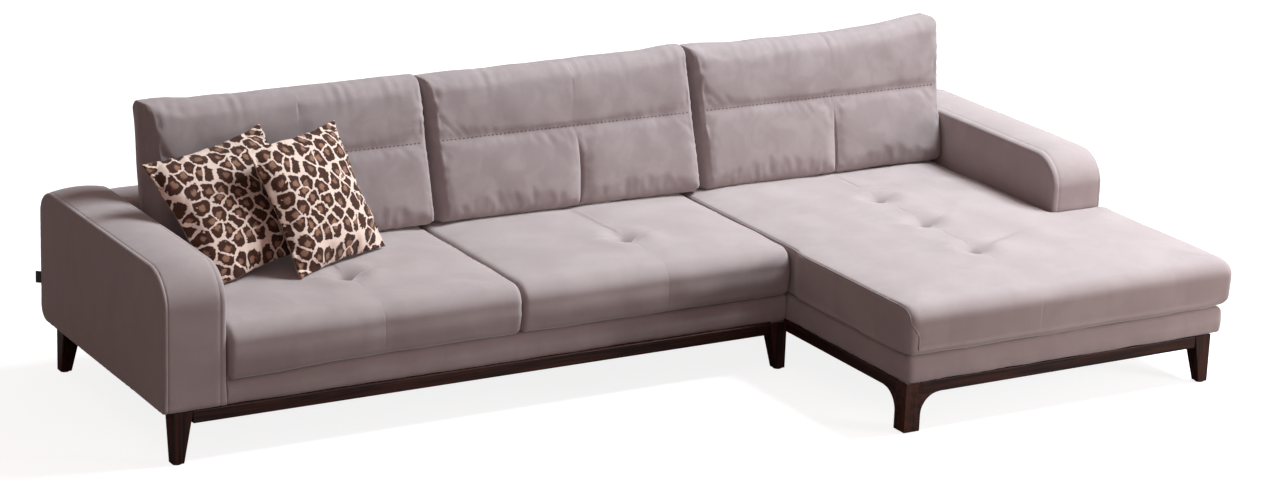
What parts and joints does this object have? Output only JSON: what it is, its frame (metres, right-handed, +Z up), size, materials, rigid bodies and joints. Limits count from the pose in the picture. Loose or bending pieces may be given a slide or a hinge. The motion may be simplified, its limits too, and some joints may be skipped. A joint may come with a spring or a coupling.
{
  "type": "corner sofa",
  "caption": "Upholstered corner sofa with a long chaise on its right, loose back cushions, tufted seat cushions, rounded arms, scatter pillows and dark wooden legs.",
  "frame": {"origin": "on the floor, under the middle of the whole sofa's bounding box", "axes": "+X towards the chaise end, on the right as seen from the front; -Y is the way the sofa faces; +Z up"},
  "size_m": [3.412, 1.705, 0.8959],
  "materials": {
    "upholstery": "soft short-pile fabric, taupe",
    "print_fabric": "printed plush with dark spots",
    "dark_wood": "dark stain, satin lacquer",
    "frame_wood": "planed softwood",
    "plywood": "sanded plywood",
    "webbing": "woven elastic",
    "felt": "grey needle felt",
    "black_cloth": "thin black cloth",
    "steel": "zinc-plated",
    "glide_plastic": "matte"
  },
  "bodies": {
    "frame": {"arm_bolts": "steel", "chaise_back_board": "frame_wood", "chaise_back_cover": "upholstery", "chaise_back_rails": "frame_wood", "chaise_back_ribs": "frame_wood", "chaise_back_webbing": "webbing", "chaise_band_front": "upholstery", "chaise_band_left": "upholstery", "chaise_band_right": "upholstery", "chaise_cross_board": "frame_wood", "chaise_deck": "felt", "chaise_dust_cover": "black_cloth", "chaise_front_board": "frame_wood", "chaise_front_rail": "dark_wood", "chaise_side_boards": "frame_wood", "chaise_side_rail": "dark_wood", "chaise_webbing": "webbing", "connector_bolts": "steel", "connector_plates": "steel", "left_arm_cover": "upholstery", "left_arm_inner_panel": "plywood", "left_arm_outer_panel": "plywood", "left_arm_spacers": "frame_wood", "leg_back_left": "dark_wood", "leg_back_middle": "dark_wood", "leg_bolts": "steel", "leg_chaise_back_left": "dark_wood", "leg_chaise_back_right": "dark_wood", "leg_chaise_corner": "dark_wood", "leg_chaise_front_right": "dark_wood", "leg_front_left": "dark_wood", "leg_front_middle": "dark_wood", "leg_glides": "glide_plastic", "leg_plates": "steel", "right_arm_cover": "upholstery", "right_arm_inner_panel": "plywood", "right_arm_outer_panel": "plywood", "right_arm_spacers": "frame_wood", "seat_cushion_chaise": "upholstery", "seat_cushion_left": "upholstery", "seat_cushion_middle": "upholstery", "side_tab": "black_cloth", "sofa_back_board": "frame_wood", "sofa_back_cover": "upholstery", "sofa_back_rails": "frame_wood", "sofa_back_ribs": "frame_wood", "sofa_back_webbing": "webbing", "sofa_cross_boards": "frame_wood", "sofa_deck": "felt", "sofa_dust_cover": "black_cloth", "sofa_front_band": "upholstery", "sofa_front_board": "frame_wood", "sofa_front_rail": "dark_wood", "sofa_webbing": "webbing"},
    "back_cushion_left": {"back_cushion_left": "upholstery"},
    "back_cushion_middle": {"back_cushion_middle": "upholstery"},
    "back_cushion_right": {"back_cushion_right": "upholstery"},
    "scatter_pillow_rear": {"scatter_pillow_rear": "print_fabric"},
    "scatter_pillow_front": {"scatter_pillow_front": "print_fabric"}
  },
  "joints": [
    {"name": "back_cushion_left_lift", "type": "slide", "parent": "frame", "child": "back_cushion_left", "axis": [0, 0.2334, 0.9724], "range_m": [0, 0.6]},
    {"name": "back_cushion_middle_lift", "type": "slide", "parent": "frame", "child": "back_cushion_middle", "axis": [0, 0.2334, 0.9724], "range_m": [0, 0.6]},
    {"name": "back_cushion_right_lift", "type": "slide", "parent": "frame", "child": "back_cushion_right", "axis": [0, 0.2334, 0.9724], "range_m": [0, 0.6]},
    {"name": "scatter_pillow_rear_lift", "type": "slide", "parent": "frame", "child": "scatter_pillow_rear", "axis": [0, -0.7507, 0.6606], "range_m": [0, 0.45]},
    {"name": "scatter_pillow_front_lift", "type": "slide", "parent": "scatter_pillow_rear", "child": "scatter_pillow_front", "axis": [0.2488, -0.7465, 0.6171], "range_m": [0, 0.45]}
  ]
}
